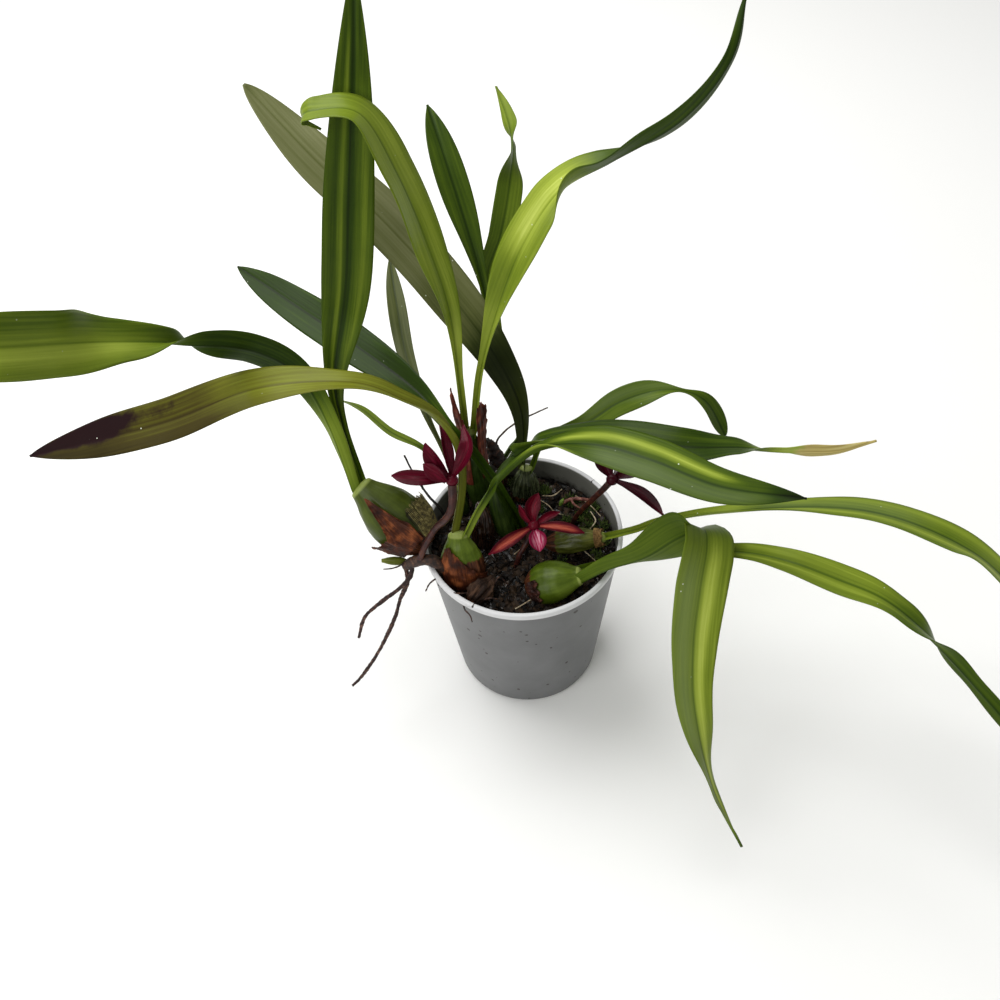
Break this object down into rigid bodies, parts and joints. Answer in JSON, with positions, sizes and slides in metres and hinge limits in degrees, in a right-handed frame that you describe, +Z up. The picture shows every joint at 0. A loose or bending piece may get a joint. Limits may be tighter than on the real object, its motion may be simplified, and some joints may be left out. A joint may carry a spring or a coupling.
{
  "type": "potted maxillaria orchid",
  "caption": "Clump-forming orchid in a plain tapered pot, with strap leaves arching out all round, flattened bulbs at their base, hanging roots and dark red flowers.",
  "frame": {"origin": "centre of the pot's flat base, on the surface that it stands on", "axes": "+Z up the pot's axis, -Y towards the front of the plant, +X to its right"},
  "size_m": [0.5495, 0.3987, 0.4201],
  "materials": {
    "pot": "satin grey plastic",
    "bark": "damp dark bark",
    "rhizome": "dark woody",
    "bulb": "smooth green, waxy",
    "old_bulb": "dry wrinkled brown",
    "leaf": "satin green",
    "sheath": "dry papery brown",
    "tepal": "dark crimson, satin",
    "lip": "pink, glossy",
    "stalk": "red-brown",
    "root": "dark brown, rough"
  },
  "bodies": {
    "root": {"black_stem": "root", "bract_front": "sheath", "bract_right": "sheath", "collar_right": "sheath", "dry_stalk": "stalk", "flower_1_lip": "lip", "flower_1_stalk": "stalk", "flower_1_tepals": "tepal", "flower_2_lip": "lip", "flower_2_stalk": "stalk", "flower_2_tepals": "tepal", "flower_3_lip": "lip", "flower_3_stalk": "stalk", "flower_3_tepals": "tepal", "leaf_01_far_left": "leaf", "leaf_02_brown_tip": "leaf", "leaf_03_back_left": "leaf", "leaf_04_front_arch": "leaf", "leaf_05_upright": "leaf", "leaf_06_grey_olive": "leaf", "leaf_07_left_arch": "leaf", "leaf_08_tall_right": "leaf", "leaf_09_back_dark": "leaf", "leaf_10_back_twisted": "leaf", "leaf_11_small_back": "leaf", "leaf_12_thin_back": "leaf", "leaf_13_dry_tip": "leaf", "leaf_14_small_arch": "leaf", "leaf_15_long_right": "leaf", "leaf_16_low_right": "leaf", "leaf_17_folded": "leaf", "new_shoot": "bulb", "pot": "pot", "pseudobulb_01": "bulb", "pseudobulb_02": "bulb", "pseudobulb_03": "bulb", "pseudobulb_04": "bulb", "pseudobulb_05": "old_bulb", "pseudobulb_06": "bulb", "pseudobulb_07": "bulb", "pseudobulb_08": "bulb", "pseudobulb_09": "bulb", "pseudobulb_10": "bulb", "pseudobulb_dead": "old_bulb", "rhizome": "rhizome", "root_1": "root", "root_2": "root", "sheath_net": "sheath", "sheath_papery": "sheath", "sheath_tall_left": "sheath", "sheath_tall_right": "sheath", "substrate": "bark"}
  },
  "joints": []
}
